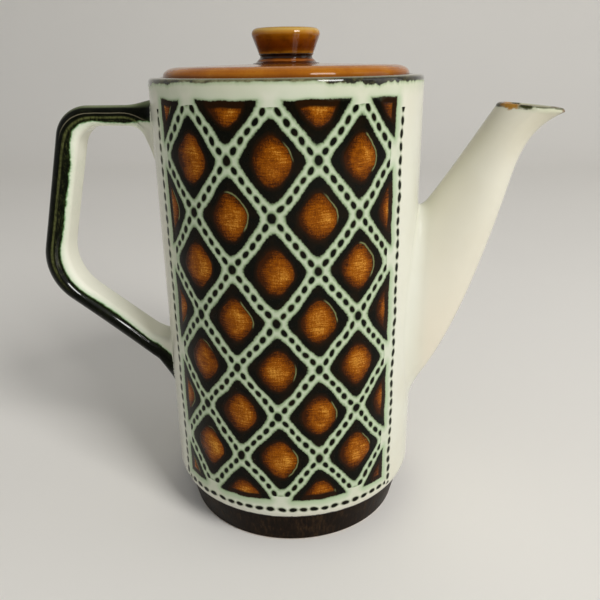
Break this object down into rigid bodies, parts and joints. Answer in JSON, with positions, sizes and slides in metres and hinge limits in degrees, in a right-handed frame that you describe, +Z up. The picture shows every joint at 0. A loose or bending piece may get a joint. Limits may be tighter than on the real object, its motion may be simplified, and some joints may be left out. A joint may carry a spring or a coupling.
{
  "type": "lidded coffee pot",
  "caption": "Tall cylindrical stoneware coffee pot with a slanted spout, an angular handle and a lift-off lid with a small flared knob.",
  "frame": {"origin": "on the axis of the body, in the plane of the foot's underside, which is the surface the pot stands on", "axes": "+Z up along the body's axis, +X out along the spout, -X out along the handle, +Y to the left of the spout"},
  "size_m": [0.2275, 0.112, 0.2123],
  "materials": {
    "cream_glaze": "glossy off-white glaze with a faint green tint, with a painted dark and amber pattern on the body",
    "black_wash": "brushed dark brown-black wash with a low sheen",
    "dark_green_glaze": "glossy black-green glaze on the back, cream glaze on the finger side",
    "amber_glaze": "glossy translucent orange-brown glaze",
    "brown_glaze": "glossy dark amber glaze, thin and olive-yellow on the edges"
  },
  "bodies": {
    "pot": {"pot_body": "cream_glaze", "foot_ring": "black_wash", "spout": "cream_glaze", "handle": "dark_green_glaze"},
    "lid_group": {"lid": "amber_glaze", "lid_flange": "amber_glaze", "lid_lug": "amber_glaze", "knob": "brown_glaze"}
  },
  "joints": [
    {"name": "lid_lift", "type": "slide", "parent": "pot", "child": "lid_group", "axis": [0, 0, 1], "range_m": [0, 0.08]}
  ]
}
